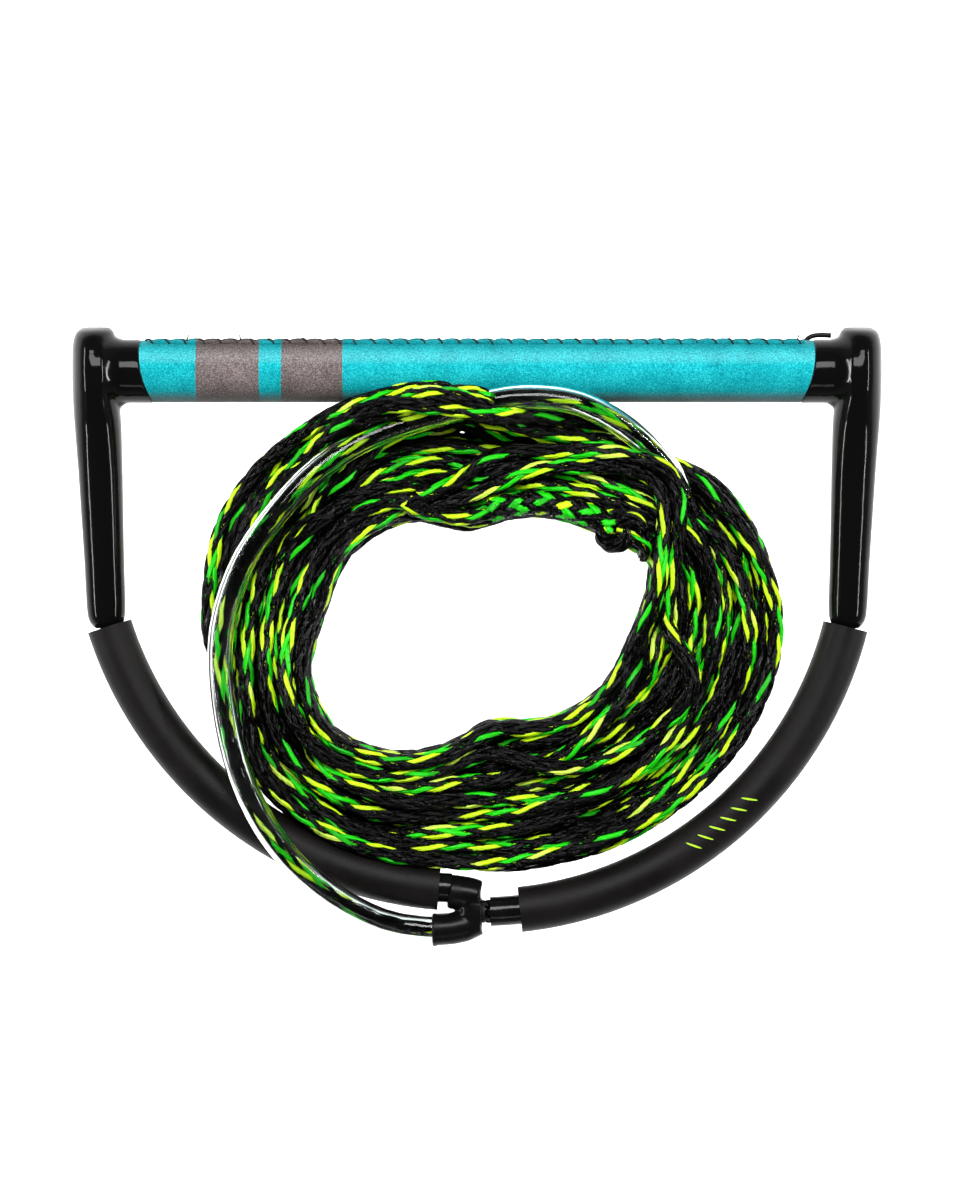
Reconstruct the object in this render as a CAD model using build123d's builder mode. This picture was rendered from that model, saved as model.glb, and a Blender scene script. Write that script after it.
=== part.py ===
from build123d import *
import os
from math import cos, pi, radians, sin, tan

os.makedirs("parts", exist_ok=True)

# The handle lies flat: the bar along X, the bridle towards -Y, +Z up from the ground.

# Overall
HALF_LENGTH = 190.5            # a 15 inch handle, over the end caps
HALF_DEPTH = 145.6             # bar side to yoke side, the boat rope not counted

# Bar and grip
TUBE_RADIUS = 11.0
TUBE_WALL = 2.0
TUBE_HALF = 168.0
FOAM_RADIUS = 13.4
COVER_RADIUS = 14.6
PLUG_LENGTH = 20.0
STITCH_PITCH = 8.0
STITCH_COUNT = 37
STITCH_LENGTH = 4.6
STITCH_RADIUS = 0.45
SEAM_TILT = 32.0               # the seam sits this far above the outer side of the grip

# End caps
HEAD_RADIUS = 20.4
HEAD_OUTER_RADIUS = 19.0       # the head narrows a little towards its outer end
HEAD_INNER_X = 172.0
HEAD_EDGE = 7.5
HEAD_INNER_EDGE = 3.5
NECK_X = 166.8                 # head meets collar
NECK_CURVE = 7.5
COLLAR_RADIUS = 14.8
COLLAR_X = 158.3               # collar end on the outer side of the grip
COLLAR_CUT_RADIUS = 51.0       # the collar ends in a curve that runs out towards the bridle
COLLAR_CUT_RISE = 9.6
ARM_TOP_X = 178.6
ARM_TOP_RADIUS = 10.8
ARM_END_RADIUS = 9.15
ARM_CURVE = 5.5                # blend between arm and collar
FIT = 0.05

# Bridle
FLOAT_RADIUS = 10.75
FLOAT_BORE = 7.3
SLEEVE_RADIUS = 7.0
ROPE_RADIUS = 4.5
ROPE_CHANNEL = 4.8
LEG_RADIUS = 178.0             # both legs hang in this curve
LEFT_START = 17.7              # degrees from straight down the handle to inwards
LEFT_END = 85.5
RIGHT_START = 14.1
RIGHT_END = 83.9
FLOAT_SETBACK = 7.5            # float end from the fold centre
SLEEVE_SETBACK = 1.0           # degrees of leg curve from float end to sleeve end
BEND_X = 175.8
BEND_Y = 12.4
POCKET_RADIUS = 5.1
SLOT_HALF_WIDTH = 4.9
FOLD_RANGE = 56.0

# Yoke boot
BOOT_RADIUS = 7.0
BOOT_MOUTH_X = -20.5
BOOT_RIGHT_X = 2.0
BOOT_HALF_HEIGHT = 6.8
BOOT_SHOULDER = 6.4            # above the left leg's line, at the branch
BOOT_SHOULDER_END = 5.2        # the same where the right corner starts
BOOT_CORNER = 3.5
BOOT_FACE_TOP = 1.0            # end face, from the left leg's line
BOOT_FACE_BOTTOM = 2.2         # to this far above the boat rope's line
BOOT_HEEL = 6.2                # below the boat rope's line, at the branch
BOOT_HEEL_END = 3.2
BOOT_EDGE_CURVE = 2.5
BOOT_ROUNDING = 3.6
BOOT_BACK = 5.0                # boat branch starts this far inside the end face
BOOT_WALL = 0.6                # dipped skin over the leg's sleeve
BOOT_LAP = 1.8                 # how far that skin runs past the yoke's straight run
SOCKET_DEPTH = 8.5
WHIPPING_RADIUS = 5.4
WHIPPING_LENGTH = 4.0

# Mainline
LEAD_RADIUS = 4.0
CLEAR_RADIUS = 6.0
CLEAR_BORE = 4.2
COIL_TOP = 40.0
COIL_SLOPE = 3.4               # degrees, the bar holds that side of the coil up
BAR_GAP = 2.4
FLOAT_GAP = 1.8

BAR_Y = HALF_DEPTH - HEAD_RADIUS
BAR_Z = HEAD_RADIUS
LEG_Z = FLOAT_RADIUS
BOOT_Y = BOOT_RADIUS - HALF_DEPTH

LEFT_BEND = Vector(-BEND_X, BEND_Y, LEG_Z)
RIGHT_BEND = Vector(BEND_X, BEND_Y, LEG_Z)


def polar(centre, angle):
    """Point of a leg's curve at a polar angle in degrees."""
    reach = Vector(cos(radians(angle)), sin(radians(angle)), 0)
    return centre + reach * LEG_RADIUS


def leg_heading(side, angle):
    """Direction of travel down a leg, side -1 left and +1 right."""
    return Vector(-side * sin(radians(angle)), -cos(radians(angle)), 0)


def leg_centre(side, bend, start):
    """Centre of a leg's curve, which starts where its float starts."""
    float_start = bend + leg_heading(side, start) * FLOAT_SETBACK
    return float_start + Vector(-side * cos(radians(start)), sin(radians(start)), 0) * LEG_RADIUS


def leg_polar(side, angle):
    """Polar angle about the leg's centre where the leg has turned by angle."""
    return 180.0 + angle if side < 0 else -angle


LEFT_CENTRE = leg_centre(-1, LEFT_BEND, LEFT_START)
RIGHT_CENTRE = leg_centre(1, RIGHT_BEND, RIGHT_START)


def save(part, name):
    part.label = name
    export_step(part, f"parts/{name}.step")


# --- bar -------------------------------------------------------------------

def bar_plane(x):
    """Plane across the bar at x, looking along +X."""
    return Plane(origin=(x, BAR_Y, BAR_Z), x_dir=(0, 1, 0), z_dir=(1, 0, 0))


def collar_zone(side, gap):
    """Everything outwards of the curved line where one collar ends."""
    cut_x = side * (COLLAR_X - COLLAR_CUT_RADIUS)
    with BuildPart() as zone:
        with BuildSketch():
            with Locations((cut_x + side * HALF_LENGTH / 2, BAR_Y)):
                Rectangle(HALF_LENGTH, 4 * COLLAR_RADIUS)
            with Locations((cut_x, BAR_Y + COLLAR_CUT_RISE)):
                Circle(COLLAR_CUT_RADIUS - gap, mode=Mode.SUBTRACT)
        extrude(amount=3 * HEAD_RADIUS)
    return zone.part


def ring_bar(outer, inner):
    """Sleeve round the bar between the two collar ends."""
    with BuildPart() as sleeve:
        with BuildSketch(bar_plane(-TUBE_HALF)):
            Circle(outer)
            Circle(inner, mode=Mode.SUBTRACT)
        extrude(amount=2 * TUBE_HALF)
        add(collar_zone(-1, FIT), mode=Mode.SUBTRACT)
        add(collar_zone(1, FIT), mode=Mode.SUBTRACT)
    return sleeve.part


with BuildPart() as bar_tube:
    with BuildSketch(bar_plane(-TUBE_HALF)):
        Circle(TUBE_RADIUS)
        Circle(TUBE_RADIUS - TUBE_WALL, mode=Mode.SUBTRACT)
    extrude(amount=2 * TUBE_HALF)
save(bar_tube.part, "bar_tube")

save(ring_bar(FOAM_RADIUS, TUBE_RADIUS), "grip_foam")
save(ring_bar(COVER_RADIUS, FOAM_RADIUS), "grip_cover")

with BuildPart() as seam_thread:
    stitch_reach = COVER_RADIUS + STITCH_RADIUS + FIT
    seam_y = BAR_Y + stitch_reach * cos(radians(SEAM_TILT))
    seam_z = BAR_Z + stitch_reach * sin(radians(SEAM_TILT))
    seam_plane = Plane(
        origin=(0, seam_y, seam_z),
        x_dir=(1, 0, 0),
        z_dir=(0, cos(radians(SEAM_TILT)), sin(radians(SEAM_TILT))),
    )
    with Locations(seam_plane):
        with GridLocations(STITCH_PITCH, 1, STITCH_COUNT, 1):
            Cylinder(STITCH_RADIUS, STITCH_LENGTH, rotation=(0, 90, 0))
save(seam_thread.part, "seam_thread")

for side, name in ((-1, "left"), (1, "right")):
    with BuildPart() as bar_plug:
        with BuildSketch(bar_plane(side * (TUBE_HALF - PLUG_LENGTH / 2))):
            Circle(TUBE_RADIUS - TUBE_WALL - FIT)
            Circle(ROPE_CHANNEL, mode=Mode.SUBTRACT)
        extrude(amount=PLUG_LENGTH / 2 - 1, both=True)
    save(bar_plug.part, f"bar_plug_{name}")


# --- rope inside the arms and the bar ----------------------------------------

ROPE_CORNER = 9.0
ROPE_STOP = 6.2                # the inner rope stops this far above the fold centre


def arm_top(side):
    return Vector(side * ARM_TOP_X, BAR_Y, BAR_Z)


def arm_end(side):
    return Vector(side * BEND_X, BEND_Y, LEG_Z)


def arm_point(side, distance):
    """Point on an arm's axis, this far above the fold centre."""
    up = (arm_top(side) - arm_end(side)).normalized()
    return arm_end(side) + up * distance


def inner_rope(radius, stop):
    """The rope's way up one arm, through the bar and down the other arm."""
    with BuildPart() as rope:
        with BuildLine() as way:
            FilletPolyline(
                arm_point(-1, stop), arm_top(-1), arm_top(1), arm_point(1, stop), radius=ROPE_CORNER
            )
        with BuildSketch(Plane(origin=way.line @ 0, z_dir=way.line % 0)):
            Circle(radius)
        sweep()
    return rope.part


bar_rope = inner_rope(ROPE_RADIUS, ROPE_STOP)
rope_channel = inner_rope(ROPE_CHANNEL, 0)
save(bar_rope, "bar_rope")


# --- end caps ----------------------------------------------------------------

def make_cap(side, bend, start):
    """Moulded elbow: head and collar turned round the bar, and a tapered arm with a domed end."""
    up_arm = (arm_top(side) - bend).normalized()
    heading = leg_heading(side, start)
    slot_half = SLOT_HALF_WIDTH / cos(radians(start))
    slot_reach = 2 * ARM_END_RADIUS
    slot_end = bend + heading * slot_reach
    folded = heading.rotate(Axis.X, FOLD_RANGE)

    with BuildPart() as head:
        with BuildSketch(Plane(origin=(0, BAR_Y, BAR_Z))) as profile:
            with BuildLine():
                Polyline(
                    (side * HALF_LENGTH, 0),
                    (side * HALF_LENGTH, HEAD_OUTER_RADIUS),
                    (side * HEAD_INNER_X, HEAD_RADIUS),
                    (side * NECK_X, COLLAR_RADIUS),
                    (side * (COLLAR_X - COLLAR_CUT_RADIUS), COLLAR_RADIUS),
                    (side * (COLLAR_X - COLLAR_CUT_RADIUS), 0),
                    close=True,
                )
            make_face()
            edge_corner = profile.vertices().sort_by_distance((side * HALF_LENGTH, HEAD_OUTER_RADIUS))[0]
            fillet(edge_corner, HEAD_EDGE)
            inner_corner = profile.vertices().sort_by_distance((side * HEAD_INNER_X, HEAD_RADIUS))[0]
            fillet(inner_corner, HEAD_INNER_EDGE)
            neck_corner = profile.vertices().sort_by_distance((side * NECK_X, COLLAR_RADIUS))[0]
            fillet(neck_corner, NECK_CURVE)
        revolve(axis=Axis((0, BAR_Y, BAR_Z), (1, 0, 0)))
        add(collar_zone(side, 0), mode=Mode.INTERSECT)

    with BuildPart() as cap:
        add(head.part)
        with BuildSketch(Plane(origin=arm_top(side), z_dir=up_arm)):
            Circle(ARM_TOP_RADIUS)
        with BuildSketch(Plane(origin=bend, z_dir=up_arm)):
            Circle(ARM_END_RADIUS)
        loft()
        with Locations(bend):
            Sphere(ARM_END_RADIUS)
        corner = Vector(side * (ARM_TOP_X - ARM_TOP_RADIUS), BAR_Y - COLLAR_RADIUS, BAR_Z)
        fillet(cap.edges().sort_by_distance(corner)[0], ARM_CURVE)
        add(rope_channel, mode=Mode.SUBTRACT)
        with BuildSketch(bar_plane(side * (TUBE_HALF + FIT))):
            Circle(TUBE_RADIUS + FIT)
        extrude(amount=-side * 4 * PLUG_LENGTH, mode=Mode.SUBTRACT)
        with Locations(bend):
            Sphere(POCKET_RADIUS, mode=Mode.SUBTRACT)
        with BuildSketch(Plane(origin=bend, z_dir=heading)):
            Circle(SLOT_HALF_WIDTH)
        extrude(amount=slot_reach, mode=Mode.SUBTRACT)
        with BuildSketch(Plane(origin=bend, z_dir=folded)):
            Circle(SLOT_HALF_WIDTH)
        extrude(amount=slot_reach, mode=Mode.SUBTRACT)
        with BuildSketch(Plane.XY.offset(LEG_Z)):
            with BuildLine():
                Polyline(
                    (bend.X - slot_half, bend.Y),
                    (bend.X + slot_half, bend.Y),
                    (slot_end.X + slot_half, slot_end.Y),
                    (slot_end.X - slot_half, slot_end.Y),
                    close=True,
                )
            make_face()
        revolve(axis=Axis(bend, (1, 0, 0)), revolution_arc=FOLD_RANGE, mode=Mode.SUBTRACT)
    return cap.part


save(make_cap(-1, LEFT_BEND, LEFT_START), "end_cap_left")
save(make_cap(1, RIGHT_BEND, RIGHT_START), "end_cap_right")


# --- bridle --------------------------------------------------------------------

def leg_tube(side, centre, start, end, outer, inner):
    """Tube along a leg's curve between two turn angles."""
    first = leg_polar(side, start)
    with BuildPart() as tube:
        ahead = leg_heading(side, start)
        with BuildSketch(Plane(origin=polar(centre, first), z_dir=ahead)):
            Circle(outer)
            Circle(inner, mode=Mode.SUBTRACT)
        revolve(axis=Axis(centre, (0, 0, -side)), revolution_arc=end - start)
    return tube.part


LEFT_SLEEVE_END = 87.4
RIGHT_SLEEVE_END = 88.4
LEFT_ROPE_END = 87.6           # from here the rope leaves the leg's curve for the splice
RIGHT_ROPE_END = 88.5
YOKE_RUN = 4.6
YOKE_CORNER = 7.5

save(leg_tube(-1, LEFT_CENTRE, LEFT_START, LEFT_END, FLOAT_RADIUS, FLOAT_BORE), "float_left")
save(leg_tube(1, RIGHT_CENTRE, RIGHT_START, RIGHT_END, FLOAT_RADIUS, FLOAT_BORE), "float_right")

left_sleeve_start = LEFT_START + SLEEVE_SETBACK
right_sleeve_start = RIGHT_START + SLEEVE_SETBACK
sleeve_bore = ROPE_RADIUS + FIT
save(
    leg_tube(-1, LEFT_CENTRE, left_sleeve_start, LEFT_SLEEVE_END, SLEEVE_RADIUS, sleeve_bore),
    "bridle_sleeve_left",
)
save(
    leg_tube(1, RIGHT_CENTRE, right_sleeve_start, RIGHT_SLEEVE_END, SLEEVE_RADIUS, sleeve_bore),
    "bridle_sleeve_right",
)

left_leave = polar(LEFT_CENTRE, leg_polar(-1, LEFT_ROPE_END))
right_leave = polar(RIGHT_CENTRE, leg_polar(1, RIGHT_ROPE_END))
left_corner = left_leave + leg_heading(-1, LEFT_ROPE_END) * YOKE_RUN
right_corner = right_leave + leg_heading(1, RIGHT_ROPE_END) * YOKE_RUN


def bridle_way():
    """The rope's line from the left fold centre through the yoke to the right one."""
    with BuildLine() as way:
        left_float = LEFT_BEND + leg_heading(-1, LEFT_START) * FLOAT_SETBACK
        right_float = RIGHT_BEND + leg_heading(1, RIGHT_START) * FLOAT_SETBACK
        left_turn = (LEFT_START + LEFT_ROPE_END) / 2
        right_turn = (RIGHT_START + RIGHT_ROPE_END) / 2
        Line(LEFT_BEND, left_float)
        ThreePointArc(left_float, polar(LEFT_CENTRE, leg_polar(-1, left_turn)), left_leave)
        FilletPolyline(left_leave, left_corner, right_corner, right_leave, radius=YOKE_CORNER)
        ThreePointArc(right_leave, polar(RIGHT_CENTRE, leg_polar(1, right_turn)), right_float)
        Line(right_float, RIGHT_BEND)
    return way.line


with BuildPart() as bridle_rope:
    with BuildLine() as bridle_line:
        add(bridle_way())
    with BuildSketch(Plane(origin=LEFT_BEND, z_dir=leg_heading(-1, LEFT_START))):
        Circle(ROPE_RADIUS)
    sweep()
    with Locations(LEFT_BEND, RIGHT_BEND):
        Sphere(ROPE_RADIUS)
save(bridle_rope.part, "bridle_rope")

with BuildPart() as yoke_channel:
    with BuildLine() as yoke_line:
        FilletPolyline(left_leave, left_corner, right_corner, right_leave, radius=YOKE_CORNER)
    with BuildSketch(Plane(origin=left_leave, z_dir=leg_heading(-1, LEFT_ROPE_END))):
        Circle(ROPE_RADIUS + FIT)
    sweep()

with BuildPart() as yoke_boot:
    with BuildSketch(Plane.XY.offset(LEG_Z)):
        with BuildLine():
            Polyline(
                (left_leave.X + 1, left_leave.Y + BOOT_SHOULDER),
                (BOOT_RIGHT_X - BOOT_CORNER, left_leave.Y + BOOT_SHOULDER_END),
                (BOOT_RIGHT_X, left_leave.Y + BOOT_FACE_TOP),
                (BOOT_RIGHT_X, BOOT_Y + BOOT_FACE_BOTTOM),
                (BOOT_RIGHT_X - BOOT_CORNER, BOOT_Y - BOOT_HEEL_END),
                (left_leave.X + 1, BOOT_Y - BOOT_HEEL),
                close=True,
            )
        make_face()
    extrude(amount=BOOT_HALF_HEIGHT, both=True)
    fillet(yoke_boot.edges().filter_by(Axis.Z).group_by(Axis.X)[-1], BOOT_EDGE_CURVE)
    fillet(yoke_boot.faces().filter_by(Axis.Z).edges(), BOOT_ROUNDING)
    with BuildSketch(Plane(origin=(BOOT_RIGHT_X - BOOT_BACK, BOOT_Y, LEG_Z), z_dir=(-1, 0, 0))):
        Circle(BOOT_RADIUS)
    extrude(amount=BOOT_RIGHT_X - BOOT_BACK - BOOT_MOUTH_X)
    upper_back = leg_heading(-1, LEFT_ROPE_END) * -1
    with BuildSketch(Plane(origin=left_corner, z_dir=upper_back)):
        Circle(SLEEVE_RADIUS + BOOT_WALL)
    extrude(amount=YOKE_RUN + BOOT_LAP)
    with BuildSketch(Plane(origin=(BOOT_MOUTH_X, BOOT_Y, LEG_Z), z_dir=(1, 0, 0))):
        Circle(CLEAR_RADIUS + FIT)
    extrude(amount=SOCKET_DEPTH, mode=Mode.SUBTRACT)
    add(yoke_channel.part, mode=Mode.SUBTRACT)
    with BuildSketch(Plane(origin=left_leave, z_dir=upper_back)):
        Circle(SLEEVE_RADIUS + FIT)
    extrude(amount=YOKE_RUN * 2, mode=Mode.SUBTRACT)

# Mainline end inside the boot
SPLICE_Y = right_leave.Y - ROPE_RADIUS - 2 * FIT
with BuildPart() as splice_tail:
    with BuildLine() as splice_line:
        FilletPolyline(
            (BOOT_MOUTH_X + SOCKET_DEPTH, BOOT_Y, LEG_Z),
            (right_corner.X - 3, BOOT_Y, LEG_Z),
            (right_corner.X - 3, SPLICE_Y, LEG_Z),
            radius=LEAD_RADIUS,
        )
    with BuildSketch(Plane(origin=splice_line.line @ 0, z_dir=(1, 0, 0))):
        Circle(LEAD_RADIUS)
    sweep()
    with BuildSketch(Plane(origin=(right_corner.X - 3, SPLICE_Y, LEG_Z), z_dir=(0, 1, 0))):
        Circle(LEAD_RADIUS)
    extrude(amount=1.5 * ROPE_RADIUS)
    add(yoke_channel.part, mode=Mode.SUBTRACT)
save(splice_tail.part, "splice_tail")

with BuildPart() as splice_whipping:
    with BuildSketch(Plane(origin=right_leave, z_dir=(-1, 0, 0)).offset(YOKE_RUN / 2)):
        Circle(WHIPPING_RADIUS)
    extrude(amount=WHIPPING_LENGTH)
    add(bridle_rope.part, mode=Mode.SUBTRACT)
    add(splice_tail.part, mode=Mode.SUBTRACT)
save(splice_whipping.part, "splice_whipping")

with BuildPart() as boot_finished:
    add(yoke_boot.part)
    add(splice_tail.part, mode=Mode.SUBTRACT)
    add(splice_whipping.part, mode=Mode.SUBTRACT)
save(boot_finished.part, "yoke_boot")


# --- mainline --------------------------------------------------------------------

LEAD_ROUTE = [
    Vector(BOOT_MOUTH_X + SOCKET_DEPTH - FIT, BOOT_Y, LEG_Z),
    Vector(-34.0, BOOT_Y, LEG_Z),
    Vector(-57.0, -129.5, 19.5),
    Vector(-79.0, -114.0, 28.0),
    Vector(-97.0, -94.0, 31.0),
    Vector(-110.0, -70.0, 31.0),
    Vector(-117.5, -44.0, 28.5),
]


def corner_radii(route):
    """Each corner's radius: as large as its two runs allow."""
    radii = []
    for before, corner, after in zip(route, route[1:], route[2:]):
        arriving = corner - before
        leaving = after - corner
        half_turn = radians(arriving.get_angle(leaving)) / 2
        radii.append(0.45 * min(arriving.length, leaving.length) / tan(half_turn))
    return radii


lead_radii = corner_radii(LEAD_ROUTE)
print("lead radii:", [round(radius, 1) for radius in lead_radii])


def lead_tube(outer, inner):
    """Tube along the lead's route."""
    with BuildPart() as tube:
        with BuildLine() as way:
            FilletPolyline(*LEAD_ROUTE, radius=lead_radii)
        with BuildSketch(Plane(origin=LEAD_ROUTE[0], z_dir=(-1, 0, 0))):
            Circle(outer)
            if inner > 0:
                Circle(inner, mode=Mode.SUBTRACT)
        sweep()
    section = pi * (outer ** 2 - inner ** 2)
    length = sum(edge.length for edge in way.edges())
    print("lead length:", round(length, 1))
    print("tube volume / (section x length):", round(tube.part.volume / (section * length), 4))
    return tube.part


save(lead_tube(LEAD_RADIUS, 0), "mainline_lead")
save(lead_tube(CLEAR_RADIUS, CLEAR_BORE), "clear_sleeve")

COIL_OUTLINE = [
    (-130, 22), (-125, 54), (-105, 83), (-71, 108), (-22, 122), (30, 121), (77, 105), (117, 73),
    (142, 32), (145, -6), (126, -51), (91, -85), (39, -107), (-22, -108), (-69, -99), (-101, -74),
    (-121, -37), (-130, -6),
]
COIL_HOLE = [
    (-59, 40), (-36, 55), (-3, 48), (58, 48), (82, 36), (71, 1), (56, -26), (6, -36), (-34, -55),
    (-67, -44), (-79, -20), (-70, 15),
]

with BuildPart() as rope_coil:
    with BuildSketch():
        with BuildLine():
            Spline(*COIL_OUTLINE, periodic=True)
        make_face()
        with BuildLine():
            Spline(*COIL_HOLE, periodic=True)
        make_face(mode=Mode.SUBTRACT)
    extrude(amount=2 * COIL_TOP)
    coil_top_plane = Plane(origin=(0, 0, COIL_TOP)).rotated((COIL_SLOPE, 0, 0))
    split(bisect_by=coil_top_plane, keep=Keep.BOTTOM)
    with BuildSketch():
        with Locations((0, BAR_Y)):
            Rectangle(2 * HALF_LENGTH, 2 * (COVER_RADIUS + BAR_GAP))
    extrude(amount=BAR_Z + COVER_RADIUS + BAR_GAP, mode=Mode.SUBTRACT)
    with BuildSketch():
        with Locations(LEFT_CENTRE):
            Circle(LEG_RADIUS + FLOAT_RADIUS + FLOAT_GAP)
            Circle(LEG_RADIUS - FLOAT_RADIUS - FLOAT_GAP, mode=Mode.SUBTRACT)
    extrude(amount=2 * FLOAT_RADIUS + FLOAT_GAP, mode=Mode.SUBTRACT)
save(rope_coil.part, "rope_coil")
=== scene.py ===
import math

import bpy
import numpy as np
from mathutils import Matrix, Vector


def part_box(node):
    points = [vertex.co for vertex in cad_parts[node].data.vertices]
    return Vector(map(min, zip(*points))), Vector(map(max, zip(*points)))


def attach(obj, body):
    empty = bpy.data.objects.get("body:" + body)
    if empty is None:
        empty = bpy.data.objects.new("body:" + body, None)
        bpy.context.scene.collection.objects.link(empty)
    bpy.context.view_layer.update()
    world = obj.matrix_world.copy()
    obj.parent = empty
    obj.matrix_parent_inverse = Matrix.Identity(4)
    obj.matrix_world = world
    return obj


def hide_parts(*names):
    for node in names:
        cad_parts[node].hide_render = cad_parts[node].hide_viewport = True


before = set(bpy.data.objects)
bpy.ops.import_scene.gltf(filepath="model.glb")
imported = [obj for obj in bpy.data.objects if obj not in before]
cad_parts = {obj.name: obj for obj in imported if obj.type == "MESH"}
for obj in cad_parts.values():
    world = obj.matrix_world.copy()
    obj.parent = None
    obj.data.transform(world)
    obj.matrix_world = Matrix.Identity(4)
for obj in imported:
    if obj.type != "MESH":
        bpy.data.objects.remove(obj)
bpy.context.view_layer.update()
RNG = np.random.default_rng(7)
MM = 0.001

# Lengths below are in metres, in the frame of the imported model.
ROPE_D = 0.008
ROPE_R = ROPE_D / 2
SHELL_R = 0.006
SHELL_BORE_R = 0.0052
SHELL_SLACK = 0.0012
SLEEVE_LENGTH = 0.50
PITCH = 0.104
TWIST = 2.2
TWIST_SPAN = 0.22
SPLICE_R = 0.0060
SPLICE_LENGTH = 0.062
BAR_LOW, BAR_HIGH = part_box("grip_cover")
BAR_Y = (BAR_LOW.y + BAR_HIGH.y) / 2
BAR_Z = (BAR_LOW.z + BAR_HIGH.z) / 2
BAR_R = (BAR_HIGH.z - BAR_LOW.z) / 2
FLOAT_C = np.array([-3.947, 59.375]) * MM
FLOAT_ARC_R = 0.178
FLOAT_R = 0.01075

# How the turns are laid. Stretches round the coil are in degrees: start, end and ease.
TURNS = 24
STEPS_PER_TURN = 84
FIRST_STEP = 6
SHARE_KERNEL = 17
SHARE_SPREAD = 1.22
FIRST_HEIGHT = 0.006
HEIGHT_PER_TURN = 0.0030
INSIDE_SLEEVE_LEFT = (124, 208, 8)
INSIDE_SLEEVE_RIGHT = (30, 99, 18)
LEFT_HELD = 0.24
RIGHT_HELD = 0.22
END_SHARE = 0.10
BAR_MARGIN = 0.012
# Where the turns pass over the sleeve: stretch, least share, lowest height, rise per turn.
PASSES = [
    ((82, 122, 14), 0.66, 0.0465, 0.0008),
    ((14, 47, 6), 0.52, 0.034, 0.0007),
]

# How the turns settle, per round.
ROUNDS = 260
SINK = 0.0009
LATE_SINK = 0.0001
LATE = 0.6
HOME_PULL = 0.04
CONTACT_PUSH = 0.6
SMOOTHING = 0.22
LENGTH_PULL = 0.25
REACH = 0.0135
NEIGHBOURS = 4
PAIRS_EVERY = 5
WALL_PULL = 0.5
# How far the pile's edges lean in towards its top.
ROUND_OFF = 0.16
ROUND_OFF_FROM = 0.012
ROUND_OFF_OVER = 0.04
# The left float lies below the coil up to here.
FLOAT_X_LIMIT = -0.002
FLOAT_Y_LIMIT = 0.01

# The mainline's route from the yoke boot to the coil, as in the part.
LEAD_ROUTE = np.array(
    [
        (-12.05, -138.6, 10.75),
        (-34, -138.6, 10.75),
        (-57, -129.5, 19.5),
        (-79, -114, 28),
        (-97, -94, 31),
        (-110, -70, 31),
        (-117.5, -44, 28.5),
    ]
) * MM
# Where its clear sleeve lies on the coil: up the left side and over the bar.
SLEEVED_ROUTE = np.array(
    [
        (-121.5, -16, 27), (-120.5, 8, 27), (-111, 36, 28), (-97, 56, 29),
        (-78, 78, 29), (-54, 94, 27), (-26, 103.5, 28.5), (0, 110, 34.5), (18, 113.4, 38.5),
        (36, 112.8, 38.3), (50, 110, 37.4), (64.5, 102.8, 33.5), (79.5, 92.4, 26),
        (91, 80, 18.5), (99, 65, 13),
    ]
) * MM
# Its far end, along the hole's edge to the knotted eye splice.
END_ROUTE = np.array(
    [(-36, 62, 43), (-18, 64.5, 46), (4, 66, 47.5), (24, 65.5, 48), (42, 60, 47.5), (56, 52.5, 45)]
) * MM
END_CUT = 22
# The last turns cross over the others here, out to the rim and back to the hole.
CROSSING = np.array(
    [
        (-2, 76), (43.7, 84), (76.7, 88), (91.7, 81), (96, 64.7),
        (94, 52.9), (86, 38.8), (77.5, 22.3), (74, 8.2),
    ]
) * MM
COIL_OUTLINE = np.array(
    [
        (-130, 22), (-125, 54), (-105, 83), (-71, 108), (-22, 122), (30, 121),
        (77, 105), (117, 73), (142, 32), (145, -6), (126, -51), (91, -85),
        (39, -107), (-22, -108), (-69, -99), (-101, -74), (-121, -37), (-130, -6),
    ]
) * MM
COIL_HOLE = np.array(
    [
        (-59, 40), (-36, 55), (-3, 48), (58, 48), (82, 36), (71, 1),
        (56, -26), (6, -36), (-34, -55), (-67, -44), (-79, -20), (-70, 15),
    ]
) * MM
COIL_C = np.array([4, 5]) * MM


# ---------------------------------------------------------------- materials
def socket(node, name):
    return next(s for s in node.inputs if s.name == name)


def new_material(name, **values):
    """A Principled material, its node tree and its shader node."""
    mat = bpy.data.materials.new(name)
    mat.use_nodes = True
    nt = mat.node_tree
    shader = next(n for n in nt.nodes if n.type == "BSDF_PRINCIPLED")
    for key, value in values.items():
        socket(shader, key.replace("_", " ")).default_value = value
    return mat, nt, shader


def add(nt, kind, links=(), **settings):
    """One node, with its inputs linked or set and its attributes set."""
    node = nt.nodes.new(kind)
    for key, value in settings.items():
        setattr(node, key, value)
    for name, value in dict(links).items():
        target = node.inputs[name] if isinstance(name, int) else socket(node, name)
        if isinstance(value, bpy.types.NodeSocket):
            nt.links.new(value, target)
        else:
            target.default_value = value
    return node


def coords(nt, kind="Object", scale=(1, 1, 1), rotation=(0, 0, 0)):
    tex = add(nt, "ShaderNodeTexCoord")
    return add(
        nt,
        "ShaderNodeMapping",
        {"Vector": tex.outputs[kind], "Scale": scale, "Rotation": rotation},
    ).outputs[0]


def noise(nt, vector, scale, detail=3, rough=0.5):
    return add(
        nt,
        "ShaderNodeTexNoise",
        {"Vector": vector, "Scale": scale, "Detail": detail, "Roughness": rough},
    ).outputs["Fac"]


def ramp(nt, fac, stops):
    """A colour ramp with (position, colour) stops."""
    node = add(nt, "ShaderNodeValToRGB", {"Fac": fac})
    node.color_ramp.elements.remove(node.color_ramp.elements[-1])
    for i, (at, colour) in enumerate(stops):
        e = node.color_ramp.elements[0] if i == 0 else node.color_ramp.elements.new(at)
        e.position = at
        e.color = (*colour, 1)
    return node.outputs["Color"]


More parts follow.
